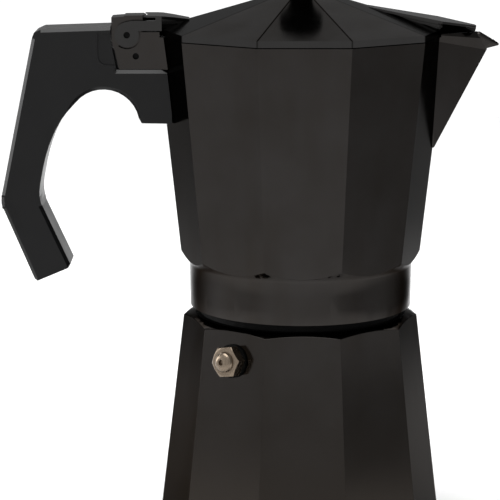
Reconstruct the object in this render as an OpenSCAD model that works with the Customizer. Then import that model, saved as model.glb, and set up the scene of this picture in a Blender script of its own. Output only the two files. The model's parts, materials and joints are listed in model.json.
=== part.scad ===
// Ten-sided stovetop moka pot, nine-cup size, in millimetres.
// Origin at the centre of the boiler's base, +Z up, spout toward +X and handle toward -X.

/* [Boiler] */
// Radius over the corners at the base
base_r = 59.5; // [58.5:0.1:60.5]
// Radius over the corners where the shoulder begins
boiler_top_r = 48.7; // [48.5:0.1:49.1]
// Height of the ten flat sides
boiler_h = 91.3; // [89:0.1:94]
// Outer radius of the threaded neck
neck_r = 42; // [41.8:0.1:42.1]
// Height of the neck above the collar's lower edge
neck_rise = 11; // [10.8:0.1:11.2]

/* [Safety valve] */
// Height of the valve above the base
valve_z = 80.5; // [78:0.5:82]
// Size over the flats of the valve's hexagon
valve_af = 11.8; // [11:0.2:12.4]
// Radius of the relief pin
pin_r = 0.8; // [0.7:0.05:0.9]

/* [Funnel and filter] */
// Outer radius of the coffee basket
basket_r = 38.2; // [37.5:0.1:38.4]
// Depth of the coffee basket
basket_depth = 27; // [24:0.5:29]
// Outer radius of the funnel's stem
stem_r = 7; // [6:0.5:8]
// Height of the stem's mouth above the base
stem_z = 8; // [7:0.5:10]
// Thickness of the rubber gasket
gasket_t = 3.7; // [3.6:0.1:3.8]
// Radius of one hole in the sieves
sieve_hole_r = 0.75; // [0.5:0.05:0.9]

/* [Collector] */
// Gap seen between the boiler's shoulder and the collar
collar_gap = 3.2; // [3:0.1:3.6]
// Height of the round collar
collar_h = 17.4; // [17.2:0.1:18]
// Radius of the collar at its lower edge
collar_r = 46; // [45.8:0.1:46.2]
// Radius over the corners at the foot of the flat sides
foot_r = 49.9; // [49.6:0.1:50.2]
// Radius over the corners at the rim
rim_r = 59.5; // [59:0.1:60]
// Height of the upper flat sides
body_h = 89.7; // [88:0.1:92]
// Wall thickness over the corners
wall = 3.2; // [2.8:0.1:3.6]
// Height of the coffee column above the collector's floor
column_h = 62; // [50:1:66]

/* [Lid and hinge] */
// Height of the lid's upright edge
skirt_h = 2.6; // [2.2:0.1:3]
// Rise of the lid's facets from its edge to their meeting point
lid_rise = 17; // [16:0.5:18]
// Radius of the hinge ears
ear_r = 5; // [4.8:0.1:5.1]
// Radius of the hinge pin
hinge_pin_r = 1.25; // [1.2:0.05:1.4]

/* [Handle] */
// Thickness of the handle from side to side
handle_t = 21; // [20.6:0.2:22]
// Size of the handle's chamfered edges
handle_chamfer = 1.4; // [1:0.1:1.6]

/* [Knob] */
// Largest radius of the knob
knob_r = 8.9; // [8:0.1:9.5]
// Radius of the knob's waist
knob_waist_r = 4.6; // [4.4:0.1:5.2]

/* [Hidden] */
$fn = 96;
sides = 10;
eps = 0.1;
flat = cos(180 / sides);
seat_gap = 0.05;

shoulder_r = 44;
shoulder_slope = 2 / 4.7;
z_shoulder = boiler_h + shoulder_slope * (boiler_top_r - shoulder_r);
z_collar = z_shoulder + collar_gap;
z_neck = z_collar + neck_rise;
z_collar_top = z_collar + collar_h;
z_foot = z_collar_top + 5.1;
z_rim = z_foot + body_h;

collar_top_r = collar_r + 0.3;
body_slope = (rim_r - foot_r) / body_h;
floor_t = 3.3;
z_floor = z_collar_top + floor_t;

z_flange = z_neck + seat_gap;
flange_t = 1;
z_gasket = z_flange + flange_t + seat_gap;
z_filter = z_gasket + gasket_t + seat_gap;
filter_t = 0.8;
z_seat = z_filter + filter_t + seat_gap;

neck_bore_r = neck_r - 3;
collar_bore_r = neck_r + 1.4;
thread_pitch = 3.5;
thread_depth = 0.9;
sheet = 0.8;
z_basket = z_flange - basket_depth;

boiler_slope = (base_r - boiler_top_r) / boiler_h;
foot_h = 1.5;
valve_tilt = atan(boiler_slope * flat);
valve_turn = 234;
valve_face_r = (base_r - boiler_slope * (valve_z - foot_h)) * flat + 0.02;
valve_bore_r = 3.2;

z_skirt = z_rim + 0.4;
z_lid_edge = z_skirt + skirt_h;
z_apex = z_lid_edge + lid_rise;
lid_t = 2;
lid_slope = lid_rise / rim_r;
knob_foot_r = 7.6;
z_knob = z_apex - lid_slope * (knob_foot_r + 0.8);

hinge_x = -71.2;
hinge_z = z_rim + 0.7;
ear_y = 6.6;
bracket_y = 9;
lug_y = 9;
core_y = 6.2;
lug_z = z_rim - 13.2;
lug_top = z_rim + 1.9;
arm_top = hinge_z + 5.8;
plate_top = z_rim + 8.5;
bridge_x = -59.5;
core_end_x = hinge_x + 7.6;
tongue_y = 3.9;
slot_y = 4.3;
handle_pin_x = -67.6;
handle_pin_z = z_rim - 7.9;
handle_pin_r = 1.3;
hinge_face_x = -77.8;
spout_rise = 1.3;

dark_metal = [0.19, 0.18, 0.18];
plain_metal = [0.72, 0.72, 0.71];
brass = [0.75, 0.69, 0.6];
black_plastic = [0.1, 0.1, 0.1];
rubber = [0.9, 0.9, 0.87];

// ---- helpers ----

// Ten-sided frustum with corners on the X axis
module ten_sided(z0, z1, r0, r1) {
    translate([0, 0, z0]) cylinder(h = z1 - z0, r1 = r0, r2 = r1, $fn = sides);
}

// Solid of revolution from [radius, height] points
module turned(points) {
    rotate_extrude() polygon(points);
}

// Rod lying along Y, centred on the XZ plane
module cross_rod(x, z, r, length) {
    translate([x, 0, z]) rotate([90, 0, 0]) cylinder(h = length, r = r, center = true, $fn = 48);
}

// Prism along Y from an outline in XZ, between y0 and y1
module side_slab(points, y0, y1) {
    translate([0, y1, 0]) rotate([90, 0, 0]) linear_extrude(height = y1 - y0) polygon(points);
}

// Both mirror images about the XZ plane
module both_sides() {
    children();
    mirror([0, 1, 0]) children();
}

// Rings that stand for a thread's crests
module thread_rings(r, z0, z1) {
    for (z = [z0 : thread_pitch : z1]) {
        turned([[r - 1, z - 1.2], [r, z - 1.2], [r + thread_depth, z - 0.3],
                [r + thread_depth, z + 0.3], [r, z + 1.2], [r - 1, z + 1.2]]);
    }
}

// Holes of a sieve on concentric rings
module sieve_holes(rings, step, h) {
    for (k = [1 : rings], i = [0 : 6 * k - 1]) {
        rotate([0, 0, i * 60 / k]) translate([k * step, 0, -eps])
            cylinder(h = h + 2 * eps, r = sieve_hole_r, $fn = 14);
    }
    translate([0, 0, -eps]) cylinder(h = h + 2 * eps, r = sieve_hole_r, $fn = 14);
}

// Moves a valve piece from its own axis to its flat side of the boiler
module at_valve() {
    rotate([0, 0, valve_turn]) translate([valve_face_r, 0, valve_z])
        rotate([0, 90 - valve_tilt, 0]) children();
}

function arc(centre, r, a0, a1, steps) =
    [for (i = [0 : steps]) let (a = a0 + (a1 - a0) * i / steps) centre + r * [cos(a), sin(a)]];

function curve(a, b, c, steps) =
    [for (i = [0 : steps]) let (t = i / steps) (1 - t) * (1 - t) * a + 2 * t * (1 - t) * b + t * t * c];

// ---- boiler ----

module boiler() {
    color(dark_metal) difference() {
        union() {
            intersection() {
                union() {
                    ten_sided(0, foot_h, base_r - 1.2, base_r);
                    ten_sided(foot_h, z_shoulder, base_r, base_r - boiler_slope * (z_shoulder - foot_h));
                }
                turned([[0, 0], [base_r + 1, 0],
                        [base_r + 1, boiler_h - shoulder_slope * (base_r + 1 - boiler_top_r)],
                        [shoulder_r, z_shoulder], [0, z_shoulder]]);
            }
            turned([[0, boiler_h], [neck_r, boiler_h], [neck_r, z_neck - 0.6],
                    [neck_r - 0.6, z_neck], [0, z_neck]]);
            thread_rings(neck_r - 0.1, z_collar + 2, z_neck - 2.2);
        }
        turned([[0, 4], [48, 4], [52, 8], [53, 14], [44, z_shoulder - 12], [neck_bore_r, z_shoulder - 4],
                [neck_bore_r, z_neck + 1], [0, z_neck + 1]]);
        at_valve() translate([0, 0, -12]) cylinder(h = 14, r = 5);
    }
}

// ---- safety valve ----

// Sealing ring under the valve's hexagon
module valve_washer() {
    color(black_plastic) at_valve() difference() {
        cylinder(h = 1, r = valve_af / 2 + 0.9);
        translate([0, 0, -eps]) cylinder(h = 1 + 2 * eps, r = 5);
    }
}

module valve_body() {
    color(brass) at_valve() difference() {
        union() {
            translate([0, 0, -5.5]) cylinder(h = 6.5, r = 4.96);
            intersection() {
                translate([0, 0, 1]) rotate([0, 0, -20])
                    cylinder(h = 4.8, r = valve_af / 2 / cos(30), $fn = 6);
                turned([[0, 0], [7.4, 0], [7.4, 4.7], [5.5, 5.8], [0, 5.8]]);
            }
        }
        translate([0, 0, -4.5]) cylinder(h = 12, r = valve_bore_r);
        translate([0, 0, -6]) cylinder(h = 3, r = 1.6);
    }
}

// Domed plug that closes the valve and guides the relief pin
module valve_cap() {
    color(brass) at_valve() difference() {
        turned(concat([[0, 4.6], [valve_bore_r, 4.6], [valve_bore_r, 5.8], [4.2, 5.8]],
                      curve([4.2, 6.2], [3.7, 7.9], [1.9, 8.2], 4), [[0, 8.2]]));
        turned([[0, 4], [pin_r + 0.08, 4], [pin_r + 0.08, 7], [1.1, 7], [1.2, 9], [0, 9]]);
    }
}

// Relief pin with the head that closes the seat
module valve_pin() {
    color(brass) at_valve() union() {
        translate([0, 0, -3.8]) cylinder(h = 1, r = 2.7);
        translate([0, 0, -3.8]) cylinder(h = 10.9, r = pin_r);
    }
}

// Soft disc on the pin's head
module valve_seal() {
    color(rubber) at_valve() translate([0, 0, -4.45]) cylinder(h = 0.65, r = 2.5);
}

// Coil whose level section is the arc that a round wire leaves in a flat cut
module valve_spring() {
    wire_r = 0.25;
    coil_r = 1.75;
    turns = 5;
    z0 = -2.7;
    z1 = 4.5;
    pitch = (z1 - z0) / turns;
    reach = 360 * wire_r / pitch;
    function half_width(a) = sqrt(max(0, wire_r * wire_r - pow(pitch * a / 360, 2)));
    outer = [for (i = [-4 : 4]) let (a = reach * i / 4) (coil_r + half_width(a)) * [cos(a), sin(a)]];
    inner = [for (i = [3 : -1 : -3]) let (a = reach * i / 4) (coil_r - half_width(a)) * [cos(a), sin(a)]];
    color(plain_metal) at_valve() translate([0, 0, z0])
        linear_extrude(height = z1 - z0, twist = -360 * turns, slices = 16 * turns, segments = 16)
            polygon(concat(outer, inner));
}

// ---- funnel ----

module funnel() {
    cone_h = 9;
    color(plain_metal) turned([
        [basket_r, z_flange], [neck_r - 0.8, z_flange], [neck_r - 0.8, z_flange + flange_t],
        [basket_r - sheet, z_flange + flange_t], [basket_r - sheet, z_basket],
        [stem_r - sheet, z_basket - cone_h], [stem_r - sheet, stem_z], [stem_r, stem_z],
        [stem_r, z_basket - cone_h - 0.6], [basket_r, z_basket - 0.6]
    ]);
}

// Perforated floor of the coffee basket
module funnel_sieve() {
    color(plain_metal) translate([0, 0, z_basket]) difference() {
        cylinder(h = sheet, r = basket_r - sheet - 0.05);
        sieve_holes(5, 6.4, sheet);
    }
}

// ---- seal and filter ----

module gasket() {
    color(rubber) turned([[30, z_gasket + 0.4], [30.4, z_gasket], [neck_r - 0.5, z_gasket],
                          [neck_r, z_gasket + 0.5], [neck_r, z_gasket + gasket_t - 0.5],
                          [neck_r - 0.5, z_gasket + gasket_t], [30.4, z_gasket + gasket_t],
                          [30, z_gasket + gasket_t - 0.4]]);
}

module filter_plate() {
    color(plain_metal) translate([0, 0, z_filter]) difference() {
        cylinder(h = filter_t, r = neck_r + 0.5);
        sieve_holes(5, 5.6, filter_t);
    }
}

// ---- collector ----

module body_outer() {
    turned_top = z_foot + 0.6;
    intersection() {
        ten_sided(z_collar_top, z_rim, foot_r - body_slope * (z_foot - z_collar_top), rim_r);
        turned([[0, z_collar_top], [collar_top_r, z_collar_top], [collar_top_r + 0.45, z_collar_top + 1.4],
                [foot_r + 0.8, turned_top], [rim_r + 3, turned_top], [rim_r + 3, z_rim], [0, z_rim]]);
    }
}

module body_cavity() {
    over = 6;
    intersection() {
        ten_sided(z_floor, z_rim + over, foot_r + body_slope * (z_floor - z_foot) - wall,
                  rim_r + body_slope * over - wall);
        turned(concat([[0, z_floor]], arc([36, z_floor + 9], 9, -90, 0, 8),
                      [[rim_r, z_floor + 34], [rim_r, z_rim + over], [0, z_rim + over]]));
    }
}

module collar() {
    turned([[collar_bore_r - 1, z_collar], [collar_r - 0.2, z_collar], [collar_r, z_collar + 0.2],
            [collar_top_r, z_collar_top], [collar_top_r, z_collar_top + eps], [0, z_collar_top + eps],
            [0, z_seat - 2], [collar_bore_r - 1, z_seat - 2]]);
}

// Spout wedge; shrink moves its root and tip inward for the channel, top and tip_top set its height
module spout_wedge(shrink, top, tip_top) {
    root = 13.2 - shrink;
    tip_x = 75.2 - shrink * 1.3;
    hull() {
        translate([50, -root, z_rim - 1]) cube([2, 2 * root, 1 + top]);
        translate([54.6 + shrink * 0.8, 0, z_rim - 46 + shrink * 2.2]) sphere(r = 0.8, $fn = 16);
        translate([tip_x - 3, 0, z_rim - 2]) cylinder(h = 2 + top, r = 1, $fn = 24);
        translate([tip_x, 0, z_rim - 6]) cylinder(h = 6 + tip_top, r = 1, $fn = 24);
    }
}

// Beak that carries the stream past the spout's tip
module spout_lip() {
    hull() {
        translate([72.6, 0, z_rim - 0.6]) sphere(r = 2.1, $fn = 24);
        translate([77, 0, z_rim - 2.7]) sphere(r = 1.7, $fn = 24);
        translate([80.5, 0, z_rim - 3.8]) sphere(r = 0.6, $fn = 24);
        translate([75, 0, z_rim - 4.6]) sphere(r = 1.2, $fn = 24);
    }
}

// Walls of the spout rise past the rim, but stand clear of the lid's edge
module spout_outer() {
    difference() {
        spout_wedge(0, spout_rise, -1.5);
        ten_sided(z_rim, z_rim + 3, rim_r + 0.5, rim_r + 0.5);
    }
    spout_lip();
}

// Channel and the groove through the lip
module spout_channel() {
    spout_wedge(2.2, 8, 8);
    side_slab([[70, z_rim - 2.8], [78.4, z_rim - 2.9], [79.4, z_rim + 4], [70, z_rim + 4]], -0.7, 0.7);
}

module column_outer() {
    turned([[0, z_floor - 1], [19, z_floor - 1], [19, z_floor + 0.5], [16, z_floor + 1.6], [14, z_floor + 5],
            [8.4, z_floor + column_h - 8], [8.8, z_floor + column_h - 7], [8.8, z_floor + column_h - 3],
            [6.5, z_floor + column_h], [0, z_floor + column_h]]);
}

// Underside cone, coffee bore and the two side outlets at the column's head
module column_bore() {
    turned([[0, z_seat - 1], [34, z_seat - 1], [34, z_seat], [13, z_seat + 1.6], [9.6, z_seat + 6],
            [4, z_seat + 22], [3.4, z_floor + column_h - 2.4], [0, z_floor + column_h - 2.4]]);
    translate([0, 0, z_floor + column_h - 4.6])
        cube([30, 4.2, 2.6], center = true);
}

// Hinge block: a tall core between the lid's arms, its end cut as a chevron, and flanks round the ears
module lug() {
    difference() {
        side_slab([[hinge_face_x + 0.2, plate_top - 0.9], [hinge_face_x + 0.2, z_rim - 2],
                   [hinge_face_x + 0.9, z_rim - 5], [hinge_face_x + 1.4, z_rim - 5.6],
                   [hinge_face_x + 3, lug_z], [-50, lug_z], [-50, z_rim - 0.2],
                   [-60.4, z_rim - 0.2], [-60.4, lug_top], [core_end_x, lug_top], [core_end_x, plate_top],
                   [hinge_x - 1.1, plate_top - 0.1], [hinge_x - 1.3, plate_top - 0.5]], -core_y, core_y);
        both_sides() translate([0, 0, lug_top]) linear_extrude(height = 10)
            polygon([[core_end_x, 0], [core_end_x - 1.2, core_y], [core_end_x - 1.4, core_y + 1],
                     [core_end_x + 1, core_y + 1], [core_end_x + 1, 0]]);
    }
    difference() {
        side_slab([[hinge_x - 3.7, lug_top], [hinge_x - 3.2, lug_z], [-50, lug_z], [-50, z_rim - 0.2],
                   [-57.9, z_rim - 0.2], [-57.9, lug_top]], -lug_y, lug_y);
        both_sides() translate([hinge_x, lug_y + 1, hinge_z]) rotate([90, 0, 0])
            cylinder(h = lug_y + 1 - core_y, r = ear_r + 0.7);
        ten_sided(z_rim, z_rim + 5, rim_r + 0.5, rim_r + 0.5);
    }
    both_sides() translate([0, 0, lug_z]) linear_extrude(height = z_rim - 0.2 - lug_z)
        polygon([[-57.6, lug_y], [-50, lug_y], [-50, lug_y + 3], [-53.6, lug_y + 2.4]]);
}

module collector() {
    color(dark_metal) difference() {
        union() {
            difference() {
                union() {
                    body_outer();
                    spout_outer();
                    lug();
                }
                body_cavity();
                spout_channel();
            }
            collar();
            column_outer();
        }
        column_bore();
        turned([[0, z_collar - 1], [collar_bore_r, z_collar - 1], [collar_bore_r, z_seat], [0, z_seat]]);
        thread_rings(collar_bore_r - 0.2, z_collar + 3.7, z_neck - 2.2);
        cross_rod(hinge_x, hinge_z, hinge_pin_r, 2 * core_y + 2);
        cross_rod(handle_pin_x, handle_pin_z, handle_pin_r, 2 * lug_y + 2);
        translate([-90, -slot_y, lug_z - 1]) cube([29.2, 2 * slot_y, 9.1]);
    }
}

// ---- lid ----

// Cover plate over the spout, with a stepped bed on the lid and a keel over the channel
module lid_nose() {
    fall = 10.2;
    translate([49, 0, z_rim + 8]) rotate([0, fall, 0]) {
        translate([0, 0, -1]) linear_extrude(height = 1)
            polygon([[-22, -5], [8, -12.5], [22.4, -3.2], [22.9, -1.8], [22.9, 1.8], [22.4, 3.2],
                     [8, 12.5], [-22, 5]]);
        translate([0, 0, -2.7]) linear_extrude(height = 0.9)
            polygon([[-20, -3.8], [7.2, -11], [8.4, -10.4], [8.4, 10.4], [7.2, 11], [-20, 3.8]]);
        translate([0, 0, -4]) linear_extrude(height = 3.5)
            polygon([[-20, -2.5], [6.6, -9.4], [8, -8.8], [8, 8.8], [6.6, 9.4], [-20, 2.5]]);
    }
    intersection() {
        translate([49, 0, z_rim + 7.5]) rotate([0, fall, 0]) translate([22.4, 0, 0]) rotate([0, -90, 0])
            linear_extrude(height = 22) polygon([[0, -6.4], [-6.4, 0], [0, 6.4]]);
        translate([50, -6, z_rim + spout_rise + 0.3]) cube([30, 12, 12]);
    }
}

// Arms over the hinge block, the bridge that joins them and the ribs that run onto the lid
gusset_top = [[-58, plate_top - 0.1], [-57, plate_top - 0.1], [-52.6, plate_top - 0.6], [-46, plate_top - 1.6]];
module lid_bracket() {
    both_sides() {
        side_slab([[hinge_x - 3.3, hinge_z], [hinge_x - 3.5, hinge_z + 3.8], [hinge_x - 2.4, hinge_z + 4.6],
                   [hinge_x - 0.8, hinge_z + 5.2], [hinge_x + 2, arm_top], [bridge_x, arm_top],
                   [bridge_x, lug_top + 0.5], [hinge_x, lug_top + 0.5], [hinge_x, hinge_z]],
                  ear_y, bracket_y);
        translate([hinge_x, bracket_y, hinge_z]) rotate([90, 0, 0])
            cylinder(h = bracket_y - ear_y, r = ear_r);
        translate([0, 0, z_lid_edge + 0.6]) linear_extrude(height = 1.5)
            polygon([[-57, 0], [-57, 8.2], [-51.5, 5.8], [-51.5, 0]]);
        translate([0, 0, z_lid_edge + 2.1]) linear_extrude(height = 1)
            polygon([[-57, 0], [-57, 7.4], [-48, 4.6], [-48, 0]]);
    }
    side_slab([[bridge_x, lug_top + 0.5], [-57, lug_top + 0.5], [-57, plate_top - 0.1], [bridge_x, plate_top]],
              -bracket_y, bracket_y);
    translate([0, 0, plate_top - 0.5]) linear_extrude(height = 0.5)
        polygon([[bridge_x + 0.5, -bracket_y], [core_end_x - 0.7, -bracket_y], [core_end_x + 1, 0],
                 [core_end_x - 0.7, bracket_y], [bridge_x + 0.5, bracket_y]]);
    intersection() {
        side_slab(concat(gusset_top, [[-46, z_lid_edge], [-58, z_lid_edge]]), -bracket_y, bracket_y);
        linear_extrude(height = 2 * z_rim) polygon([[-58, -5.6], [-46, -2.6], [-46, 2.6], [-58, 5.6]]);
    }
    intersection() {
        side_slab(concat(gusset_top, [for (i = [3 : -1 : 0]) gusset_top[i] - [0, 1.2]]), -bracket_y, bracket_y);
        linear_extrude(height = 2 * z_rim)
            polygon([[-58, -bracket_y], [-57, -bracket_y], [-46, -4.5], [-46, 4.5], [-57, bracket_y],
                     [-58, bracket_y]]);
    }
}

module lid() {
    color(dark_metal) difference() {
        union() {
            difference() {
                union() {
                    ten_sided(z_skirt, z_lid_edge, rim_r, rim_r);
                    ten_sided(z_lid_edge, z_apex, rim_r, 0.01);
                }
                translate([0, 0, z_knob]) cylinder(h = 20, r = 20);
            }
            lid_nose();
            lid_bracket();
        }
        difference() {
            union() {
                ten_sided(z_skirt - 1, z_skirt + 0.8, rim_r - lid_t, rim_r - lid_t);
                ten_sided(z_skirt + 0.8, z_apex - 1.4, rim_r - lid_t, 0.01);
            }
            translate([0, 0, z_knob - lid_t]) cylinder(h = 20, r = 20);
        }
        cross_rod(hinge_x, hinge_z, hinge_pin_r + 0.08, 3 * bracket_y);
        translate([0, 0, z_knob - 5]) cylinder(h = 10, r = 2.2);
    }
}

module hinge_pin() {
    color(plain_metal) cross_rod(hinge_x, hinge_z, hinge_pin_r, 2 * bracket_y - 2.4);
}

// ---- knob ----

module knob() {
    color(black_plastic) translate([0, 0, z_knob]) difference() {
        turned(concat(
            [[0, 0], [knob_foot_r, 0], [knob_foot_r, 1.2]],
            curve([knob_foot_r, 1.2], [knob_waist_r, 2.6], [knob_waist_r, 7.6], 6),
            curve([knob_waist_r, 9.6], [knob_waist_r + 0.4, 15], [knob_r, 19.6], 6),
            arc([knob_r - 2.6, 22.6], 2.6, 0, 80, 5), [[0, 26.6]]
        ));
        translate([0, 0, -1]) cylinder(h = 9, r = 2.9);
        translate([0, 0, 7]) cylinder(h = 3, r = 2.1);
    }
}

// Threaded bush moulded into the knob
module knob_insert() {
    color(brass) translate([0, 0, z_knob + 0.4]) difference() {
        cylinder(h = 7.6, r = 2.9);
        translate([0, 0, -1]) cylinder(h = 10, r = 2);
    }
}

module knob_screw() {
    color(plain_metal) translate([0, 0, z_knob - lid_t - 0.8]) difference() {
        union() {
            cylinder(h = 11.4, r = 2);
            turned([[0, -2.2], [2.8, -2.2], [3.7, -1.4], [3.7, 0], [0, 0]]);
        }
        translate([-3, -0.5, -2.4]) cube([6, 1, 1.3]);
    }
}

module knob_washer() {
    color(plain_metal) translate([0, 0, z_knob - lid_t - 0.8]) difference() {
        cylinder(h = 0.8, r = 5.2);
        translate([0, 0, -eps]) cylinder(h = 1, r = 2.1);
    }
}

// ---- handle ----

handle_arm_x = -53;
handle_arm_z = z_rim - 35.4;
handle_outline = concat(
    [[hinge_face_x, z_rim + 4.2], [-105.6, z_rim + 3.3], [-108.8, z_rim + 1.8], [-109.9, z_rim - 1]],
    curve([-123.2, z_rim - 64.5], [-124.2, z_rim - 69], [-122.6, z_rim - 71.3], 4),
    [[-110.4, z_rim - 100.3], [-109, z_rim - 100.9], [-96.4, z_rim - 95.6], [-95.5, z_rim - 94.2]],
    curve([-106.6, z_rim - 69.8], [-108.2, z_rim - 66], [-107.4, z_rim - 61], 4),
    curve([-106.9, z_rim - 58.4], [-103.6, z_rim - 38], [-93.6, z_rim - 28.2], 8),
    arc([-81, z_rim - 36.2], 14.7, 140, 12, 12),
    [[-65.4, z_rim - 35.2], [handle_arm_x, handle_arm_z], [handle_arm_x, lug_z - 0.2],
     [hinge_face_x + 2.35, lug_z - 0.2], [hinge_face_x, z_rim - 2]]
);

// Long prism that trims one straight edge of the handle's side, from p to q
module edge_trim(p, q) {
    c = handle_chamfer;
    run = q - p;
    translate([p[0], handle_t / 2, p[1]]) rotate([0, -atan2(run[1], run[0]), 0])
        translate([-0.6, 0, 0]) rotate([90, 0, 90]) linear_extrude(height = norm(run) + 1.2)
            polygon([[-c, 0], [0, c], [1, c], [1, -1], [-c, -1]]);
}

// Shallow bed beside the hinge block, with one rounded corner
module side_bed() {
    corner = [-79.2, z_rim - 7.6];
    both_sides() side_slab(concat([[-83, z_rim + 1.6]], arc(corner, 3.8, 180, 270, 8),
                                  [[hinge_face_x + 3, z_rim - 11.4], [hinge_face_x + 3, z_rim + 1.6]]),
                           handle_t / 2 - 0.9, handle_t / 2 + 1);
}

module handle() {
    color(black_plastic) difference() {
        union() {
            side_slab(handle_outline, -handle_t / 2, handle_t / 2);
            side_slab([[hinge_face_x - 1, lug_z - 1], [-61.4, lug_z - 1], [-61.4, lug_z + 7.6],
                       [hinge_face_x - 1, lug_z + 7.6]], -tongue_y, tongue_y);
        }
        ten_sided(z_foot - 5, z_rim + 20, foot_r - body_slope * 5 + 0.3, rim_r + body_slope * 20 + 0.3);
        cross_rod(handle_pin_x, handle_pin_z, handle_pin_r, 30);
        both_sides() {
            edge_trim([hinge_face_x, z_rim + 4.2], [-105.6, z_rim + 3.3]);
            edge_trim([-109.9, z_rim - 1], [-123.2, z_rim - 64.5]);
            edge_trim([-123.6, z_rim - 66.4], [-123.5, z_rim - 69.4]);
            edge_trim([-122.6, z_rim - 71.3], [-110.4, z_rim - 100.3]);
            edge_trim([-95.5, z_rim - 94.2], [-106.6, z_rim - 69.8]);
            edge_trim([handle_arm_x, lug_z - 0.2], [hinge_face_x + 2.35, lug_z - 0.2]);
            translate([-81, handle_t / 2, z_rim - 36.2]) rotate([90, 0, 0])
                cylinder(h = handle_chamfer, r1 = 14.7 + handle_chamfer, r2 = 14.7);
        }
        side_bed();
    }
}

module handle_pin() {
    color(plain_metal) cross_rod(handle_pin_x, handle_pin_z, handle_pin_r, 2 * lug_y - 3);
}

// ---- assembly ----

boiler();
valve_washer();
valve_body();
valve_cap();
valve_pin();
valve_seal();
valve_spring();
funnel();
funnel_sieve();
gasket();
filter_plate();
collector();
lid();
hinge_pin();
knob();
knob_insert();
knob_screw();
knob_washer();
handle();
handle_pin();
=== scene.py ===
"""Ten-sided stovetop moka pot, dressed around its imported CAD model. Metres."""
import bpy
import json
import math
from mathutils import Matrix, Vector

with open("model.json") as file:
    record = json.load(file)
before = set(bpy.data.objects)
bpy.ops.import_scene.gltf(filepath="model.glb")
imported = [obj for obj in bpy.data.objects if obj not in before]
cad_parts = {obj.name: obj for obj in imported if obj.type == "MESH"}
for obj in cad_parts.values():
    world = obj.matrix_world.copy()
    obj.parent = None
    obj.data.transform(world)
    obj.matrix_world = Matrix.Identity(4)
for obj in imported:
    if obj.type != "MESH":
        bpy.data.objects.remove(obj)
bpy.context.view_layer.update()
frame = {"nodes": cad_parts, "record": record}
scene = bpy.context.scene
nodes = frame["nodes"]

MM = 0.001
SIDES = 10  # facets around the pot

# widths of the fine edge breaks; the other pieces keep their CAD edges
EDGE_BREAKS = {
    "boiler": 0.5 * MM,
    "collector": 0.4 * MM,
    "lid": 0.3 * MM,
    "handle": 0.5 * MM,
    "valve_body": 0.25 * MM,
}
WELD_DISTANCE = 1e-6
SAME_PLANE = math.radians(0.3)  # faces within this angle make one flat
SHARP = math.radians(28)        # edges above this angle are broken
LID_CREASE = math.radians(8)    # a little under the angle between the lid's facets

# the boiler's neck and the level ring around it, seen through the gap under the collar, painted in
# shade
NECK_RADIUS = 43.5 * MM
NECK_BOTTOM = 92.5 * MM

NOISE_MIDDLE = (0.3, 0.7)       # where most of a noise pattern's values lie
# colour of the painted shade laid along the lid's creases
CREASE_SHADE = (0.0120, 0.0115, 0.0110)


# ---- node graphs ----

class Graph:
    """Short names for building a node tree."""

    def __init__(self, tree):
        self.tree = tree

    def add(self, kind, **values):
        """New node with the given attributes."""
        node = self.tree.nodes.new(kind)
        for key, value in values.items():
            setattr(node, key, value)
        return node

    def join(self, source, target):
        self.tree.links.new(source, target)

    def feed(self, socket, value):
        """Sets an input to a plain value, or links another node's output to it."""
        if isinstance(value, (int, float, tuple)):
            socket.default_value = value
        else:
            self.join(value, socket)

    def axes(self, vector):
        """The outputs X, Y and Z of a vector."""
        node = self.add("ShaderNodeSeparateXYZ")
        self.join(vector, node.inputs["Vector"])
        return node.outputs

    def span(self, factor, low, high, from_low=0.0, from_high=1.0, interpolation="LINEAR"):
        """Takes from_low..from_high to low..high, clamped at both ends."""
        node = self.add("ShaderNodeMapRange", interpolation_type=interpolation)
        node.inputs["From Min"].default_value = from_low
        node.inputs["From Max"].default_value = from_high
        node.inputs["To Min"].default_value = low
        node.inputs["To Max"].default_value = high
        self.join(factor, node.inputs["Value"])
        return node.outputs["Result"]

    def math(self, operation, *values):
        """Math node on one or two numbers or outputs."""
        node = self.add("ShaderNodeMath", operation=operation)
        for socket, value in zip(node.inputs, values):
            self.feed(socket, value)
        return node.outputs[0]

    def blend(self, factor, first, second):
        """Mix of two colours, each an RGB tuple or another node's output."""
        node = self.add("ShaderNodeMix", data_type="RGBA")
        self.join(factor, node.inputs["Factor"])
        for socket, colour in ((node.inputs[6], first), (node.inputs[7], second)):
            self.feed(socket, (*colour, 1) if isinstance(colour, tuple) else colour)
        return node.outputs[2]


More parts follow.
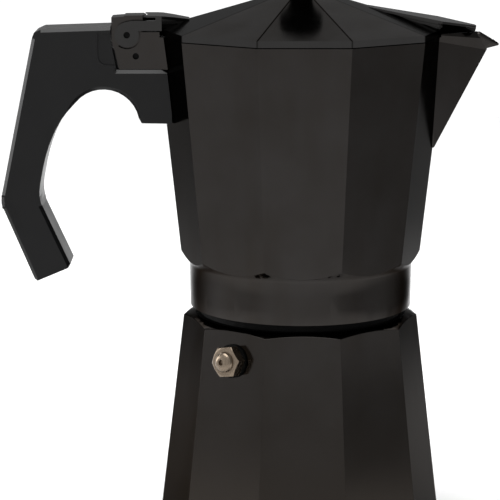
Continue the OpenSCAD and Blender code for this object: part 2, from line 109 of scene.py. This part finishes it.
class Finish(Graph):
    """One material: its shader, with noise and fine relief in object space."""

    def __init__(self, name):
        self.material = bpy.data.materials.new(name)
        self.material.use_nodes = True
        super().__init__(self.material.node_tree)
        self.tree.nodes.clear()
        output = self.add("ShaderNodeOutputMaterial")
        self.shader = self.add("ShaderNodeBsdfPrincipled")
        self.join(self.shader.outputs["BSDF"], output.inputs["Surface"])
        self.position = self.add("ShaderNodeTexCoord").outputs["Object"]

    def noise(self, scale, detail, stretch=None, roughness=0.55):
        """Noise factor; a small number in stretch draws the pattern out along X, Y or Z."""
        node = self.add("ShaderNodeTexNoise")
        node.inputs["Scale"].default_value = scale
        node.inputs["Detail"].default_value = detail
        node.inputs["Roughness"].default_value = roughness
        source = self.position
        if stretch:
            mapping = self.add("ShaderNodeMapping")
            mapping.inputs["Scale"].default_value = stretch
            self.join(source, mapping.inputs["Vector"])
            source = mapping.outputs["Vector"]
        self.join(source, node.inputs["Vector"])
        return node.outputs["Fac"]

    def mottle(self, noise, low, high):
        """Colour that wanders between two close colours."""
        return self.blend(self.span(noise, 0, 1, *NOISE_MIDDLE), low, high)

    def bump(self, height, distance, strength):
        node = self.add("ShaderNodeBump")
        node.inputs["Strength"].default_value = strength
        node.inputs["Distance"].default_value = distance
        self.join(height, node.inputs["Height"])
        return node.outputs["Normal"]

    def set(self, **values):
        """Shader inputs by name, with _ for a space."""
        for key, value in values.items():
            self.feed(self.shader.inputs[key.replace("_", " ")], value)


# ---- finishes ----

def crease_lines(g, axes):
    """1 on thin lines along the lid's creases, where shade is painted, apart from the two under
    its nose and bracket.
    """
    turn = g.math("PINGPONG", g.math("ARCTAN2", axes["Y"], axes["X"]), math.pi / SIDES)
    squares = [g.math("POWER", axes[name], 2) for name in "XY"]
    reach = g.math("POWER", g.math("ADD", *squares), 0.5)
    line = g.span(g.math("MULTIPLY", turn, reach), 1, 0, 0.1 * MM, 0.5 * MM)
    aside = g.span(g.math("ABSOLUTE", axes["Y"]), 0, 1, 6 * MM, 9 * MM)
    return g.math("MULTIPLY", line, aside)


def dark_coat(name, low, high, worn, edge_tint, shade_creases=False):
    """Thin glossy dark coating on cast metal: clear reflections, almost no diffuse light."""
    g = Finish(name)
    blotch = g.noise(38, 4)
    cast = g.noise(900, 4, roughness=0.7)
    rubbed = g.noise(160, 5, stretch=(1, 1, 0.22))
    streak = g.noise(75, 4, stretch=(1, 1, 0.12))
    axes = g.axes(g.position)
    colour = g.mottle(blotch, low, high)
    # upright worn streaks, then wear that grows toward the base
    colour = g.blend(g.span(streak, 0.35, 0, 0.3, 0.5), colour, worn)
    colour = g.blend(g.span(axes["Z"], 0.9, 0, 25 * MM, 80 * MM), colour, worn)
    if shade_creases:
        # painted shade: the lid's creases darkened in the colour
        colour = g.blend(crease_lines(g, axes), colour, CREASE_SHADE)
    gloss = g.span(blotch, 0.11, 0.16, *NOISE_MIDDLE)
    g.set(Base_Color=colour, Metallic=1.0, Specular_Tint=(edge_tint, edge_tint, edge_tint, 1.0),
          Roughness=g.math("ADD", g.span(rubbed, -0.03, 0.04), gloss),
          Normal=g.bump(cast, 0.03 * MM, 0.25))
    return g.material


def black_plastic():
    """Moulded black plastic of the handle and the knob."""
    g = Finish("black_plastic")
    fine = g.noise(1400, 3)
    wide = g.noise(60, 3)
    g.set(Base_Color=g.mottle(wide, (0.0030, 0.0030, 0.0032), (0.0044, 0.0044, 0.0046)),
          Roughness=g.span(wide, 0.26, 0.34, *NOISE_MIDDLE), Specular_IOR_Level=0.2,
          Normal=g.bump(fine, 0.02 * MM, 0.3))
    return g.material


def plain_metal(name, low, high, rough_low, rough_high):
    """Bare metal with fine turned lines."""
    g = Finish(name)
    turned = g.noise(700, 4, stretch=(1, 1, 0.08))
    patch = g.noise(90, 3)
    g.set(Base_Color=g.mottle(patch, low, high), Metallic=1.0,
          Roughness=g.span(turned, rough_low, rough_high, *NOISE_MIDDLE),
          Normal=g.bump(turned, 0.02 * MM, 0.4))
    return g.material


def rubber(name, low, high, gloss):
    """Matte rubber."""
    g = Finish(name)
    fine = g.noise(800, 3)
    patch = g.noise(70, 3)
    g.set(Base_Color=g.mottle(patch, low, high), Roughness=g.span(fine, 0.5, 0.65),
          Specular_IOR_Level=gloss, Normal=g.bump(fine, 0.03 * MM, 0.4))
    return g.material


# finishes by material slot; the lid has one of its own
LOOKS = {
    "dark_metal": dark_coat("dark_coat", (0.0288, 0.0262, 0.0242), (0.0350, 0.0325, 0.0312),
                            (0.0250, 0.0215, 0.0185), 0.395),
    "lid": dark_coat("lid_coat", (0.0300, 0.0292, 0.0285), (0.0345, 0.0338, 0.0335),
                     (0.0270, 0.0262, 0.0255), 0.408, shade_creases=True),
    "black_plastic": black_plastic(),
    "plain_metal": plain_metal("satin_aluminium", (0.56, 0.56, 0.555), (0.66, 0.66, 0.65),
                               0.25, 0.42),
    "steel": plain_metal("bright_steel", (0.50, 0.50, 0.50), (0.60, 0.60, 0.60), 0.2, 0.34),
    "dark_steel": plain_metal("dark_steel", (0.004, 0.004, 0.004), (0.009, 0.009, 0.009),
                              0.3, 0.45),
    "brass": plain_metal("pale_brass", (0.15, 0.118, 0.088), (0.21, 0.168, 0.128), 0.2, 0.36),
    "rubber": rubber("pale_rubber", (0.72, 0.70, 0.64), (0.80, 0.79, 0.74), 0.5),
    "dark_rubber": rubber("dark_rubber", (0.002, 0.002, 0.002), (0.003, 0.003, 0.003), 0.05),
}


# ---- the pot ----

def break_edges(obj, width):
    """Joins each flat into one face, then rounds the sharp edges a little."""
    weld = obj.modifiers.new("weld", "WELD")
    weld.merge_threshold = WELD_DISTANCE
    flats = obj.modifiers.new("flats", "DECIMATE")
    flats.decimate_type = "DISSOLVE"
    flats.angle_limit = SAME_PLANE
    edge = obj.modifiers.new("edge", "BEVEL")
    edge.width = width
    edge.segments = 2
    edge.limit_method = "ANGLE"
    edge.angle_limit = SHARP
    edge.miter_outer = "MITER_ARC"
    edge.harden_normals = True


def keep_creases(lid):
    """Flat shading on each facet of the lid, so its shallow creases show."""
    lid.modifiers["edge"].harden_normals = False
    lid.modifiers.new("creases", "EDGE_SPLIT").split_angle = LID_CREASE
    lid.modifiers.new("plane_normals", "WEIGHTED_NORMAL").weight = 100


def shade_neck_in_gap(boiler):
    """Painted shade: black on the boiler's neck and the ring around it, inside the gap under the
    collar.
    """
    # the dark rubber finish stands in for the shade inside the gap
    boiler.data.materials.append(LOOKS["dark_rubber"])
    for face in boiler.data.polygons:
        place = boiler.matrix_world @ face.center
        if math.hypot(place.x, place.y) < NECK_RADIUS and place.z > NECK_BOTTOM:
            face.material_index = 1


def dress_cad_nodes():
    """Gives every CAD node its finish and, where listed, a fine edge break."""
    for part in frame["record"]["subparts"]:
        name = part["node"]
        obj = nodes[name]
        obj.data.materials.clear()
        obj.data.materials.append(LOOKS.get(name, LOOKS[part["material_slot"]]))
        if name in EDGE_BREAKS:
            break_edges(obj, EDGE_BREAKS[name])
    keep_creases(nodes["lid"])
    shade_neck_in_gap(nodes["boiler"])


# ---- surroundings ----

def floor_paper_painted_shade():
    """Pale paper with painted shade: softly darker to the right, to the left and in front of the
    pot.
    """
    g = Finish("floor_paper_painted_shade")
    soft = g.noise(4, 2)
    axes = g.axes(g.position)

    def band(axis, rise, fall):
        """1 along the middle of a band, falling to 0 over the two stretches at its ends."""
        return g.math("MULTIPLY", g.span(axes[axis], 0, 1, *rise), g.span(axes[axis], 1, 0, *fall))

    # bands of painted shade in front of and beside the pot
    front = band("Y", (-0.12, -0.32), (-0.9, -1.2))
    right = band("X", (0.21, 0.34), (0.8, 1.15))
    left = band("X", (-0.23, -0.38), (-0.8, -1.15))
    near = g.span(axes["Y"], 1, 0, 1.0, 1.28)
    colour = g.blend(soft, (0.86, 0.86, 0.86), (0.88, 0.88, 0.88))
    colour = g.blend(front, colour, (0.70, 0.70, 0.70))
    # each side zone of painted shade: how much is left of it in front of the pot, and its grey
    for zone, in_front, grey in ((right, 0.8, 0.28), (left, 0.6, 0.38)):
        zone = g.math("MULTIPLY", zone, g.span(axes["Y"], in_front, 1, 0.0, 0.25))
        colour = g.blend(g.math("MULTIPLY", zone, near), colour, (grey, grey, grey))
    g.set(Base_Color=colour, Roughness=0.95, Specular_IOR_Level=0.1)
    return g.material


def add_floor():
    """Square sheet just under the pot's base."""
    half = 1.3
    gap = 0.2 * MM
    corners = [(-half, -half, 0), (half, -half, 0), (half, half, 0), (-half, half, 0)]
    mesh = bpy.data.meshes.new("floor")
    mesh.from_pydata(corners, [], [(0, 1, 2, 3)])
    mesh.materials.append(floor_paper_painted_shade())
    floor = bpy.data.objects.new("floor", mesh)
    floor.location.z = -gap
    scene.collection.objects.link(floor)


def add_sky():
    """White below the horizon; above it bright in front, dimmer to the right and behind."""
    full, dim, white = 0.95, 0.26, 1.1
    world = bpy.data.worlds.new("studio")
    scene.world = world
    world.use_nodes = True
    g = Graph(world.node_tree)
    background = g.tree.nodes["Background"]
    background.inputs["Color"].default_value = (1, 1, 1, 1)
    axes = g.axes(g.add("ShaderNodeTexCoord").outputs["Generated"])
    across = g.span(axes["X"], full, dim, 0.2, 0.8, "SMOOTHSTEP")
    behind = g.span(axes["Y"], 1.0, dim, 0.1, 0.6, "SMOOTHSTEP")
    ground = g.span(axes["Z"], white, 0.0, -0.05, 0.0, "SMOOTHSTEP")
    upper = g.math("MULTIPLY", across, behind)
    g.join(g.math("MAXIMUM", upper, ground), background.inputs["Strength"])


def add_light(name, place, target, size, radiance):
    """Soft rectangular light whose face has the given brightness."""
    data = bpy.data.lights.new(name, "AREA")
    data.shape = "RECTANGLE"
    data.size, data.size_y = size
    data.energy = radiance * math.pi * size[0] * size[1]
    light = bpy.data.objects.new(name, data)
    scene.collection.objects.link(light)
    light.location = place
    aim = Vector(target) - Vector(place)
    light.rotation_euler = aim.to_track_quat("-Z", "Y").to_euler()


def add_camera():
    """Long lens a little above the pot's middle, looking along +Y."""
    elevation = math.radians(11.06)
    distance = 0.9408
    target = Vector((-0.0211, 0, 0.1187))
    data = bpy.data.cameras.new("camera")
    data.sensor_width = 36
    data.lens = 162.05
    camera = bpy.data.objects.new("camera", data)
    scene.collection.objects.link(camera)
    camera.location = target + distance * Vector((0, -math.cos(elevation), math.sin(elevation)))
    camera.rotation_euler = (math.pi / 2 - elevation, 0, 0)
    scene.camera = camera


dress_cad_nodes()
add_floor()
add_sky()
add_light("top", (-0.15, -0.05, 1.25), (-0.15, -0.05, 0), (1.0, 1.0), 5.0)
add_light("left", (-1.1, 0.25, 0.35), (0, 0.05, 0.15), (0.7, 0.7), 4.5)
add_light("back_top", (0, 1.3, 1.15), (0, 0, 0.22), (2.4, 0.6), 2.2)
add_camera()
scene.view_settings.view_transform = "Standard"
